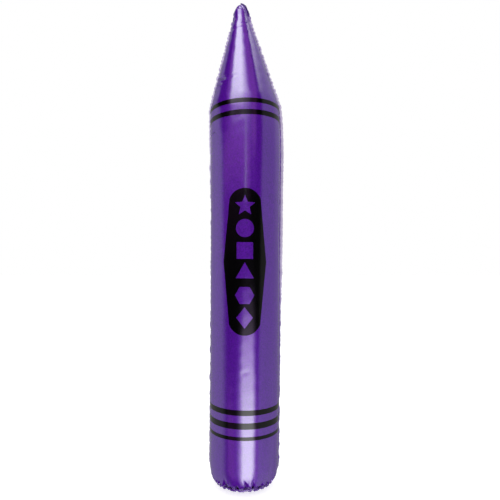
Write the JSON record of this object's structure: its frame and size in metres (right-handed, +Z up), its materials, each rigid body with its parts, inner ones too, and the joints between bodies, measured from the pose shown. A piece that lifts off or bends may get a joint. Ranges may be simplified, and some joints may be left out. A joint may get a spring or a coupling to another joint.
{
  "type": "inflatable crayon toy",
  "caption": "Tall inflatable vinyl crayon: round film body with a cone tip, welded side seams, printed bands and badge, and a push-in air valve low on the back.",
  "frame": {"origin": "on the floor below the toy's axis, at the middle of the base", "axes": "+Z up the toy's axis to the tip, front with the badge faces -Y, side seams at +X and -X, valve at +Y"},
  "size_m": [0.172, 0.1589, 1.1094],
  "materials": {
    "purple_film": "pearl metallic soft vinyl film, glossy, lightly wrinkled at the welds",
    "black_ink": "glossy black ink printed on the film",
    "clear_soft_vinyl": "translucent soft vinyl moulding"
  },
  "bodies": {
    "body": {"front_panel": "purple_film", "back_panel": "purple_film", "base_disc": "purple_film", "front_band_1": "black_ink", "front_band_2": "black_ink", "front_band_3": "black_ink", "front_band_4": "black_ink", "front_band_5": "black_ink", "back_band_1": "black_ink", "back_band_2": "black_ink", "back_band_3": "black_ink", "back_band_4": "black_ink", "back_band_5": "black_ink", "front_badge": "black_ink", "back_badge": "black_ink", "valve_flange": "clear_soft_vinyl", "valve_skirt": "clear_soft_vinyl"},
    "stem": {"valve_stem": "clear_soft_vinyl", "valve_strap": "clear_soft_vinyl"},
    "plug": {"valve_plug": "clear_soft_vinyl"},
    "flap": {"valve_flap": "clear_soft_vinyl"}
  },
  "joints": [
    {"name": "stem_slide", "type": "slide", "parent": "body", "child": "stem", "axis": [0, 1, 0], "range_m": [0, 0.017], "deforming": ["valve_skirt"]},
    {"name": "plug_pull", "type": "slide", "parent": "stem", "child": "plug", "axis": [0, 1, 0], "range_m": [0, 0.0055], "deforming": ["valve_strap"]},
    {"name": "flap_swing", "type": "hinge", "parent": "stem", "child": "flap", "pos_m": [0, 0.06445, 0.0961], "axis": [-1, 0, 0], "range_deg": [0, 60]}
  ]
}
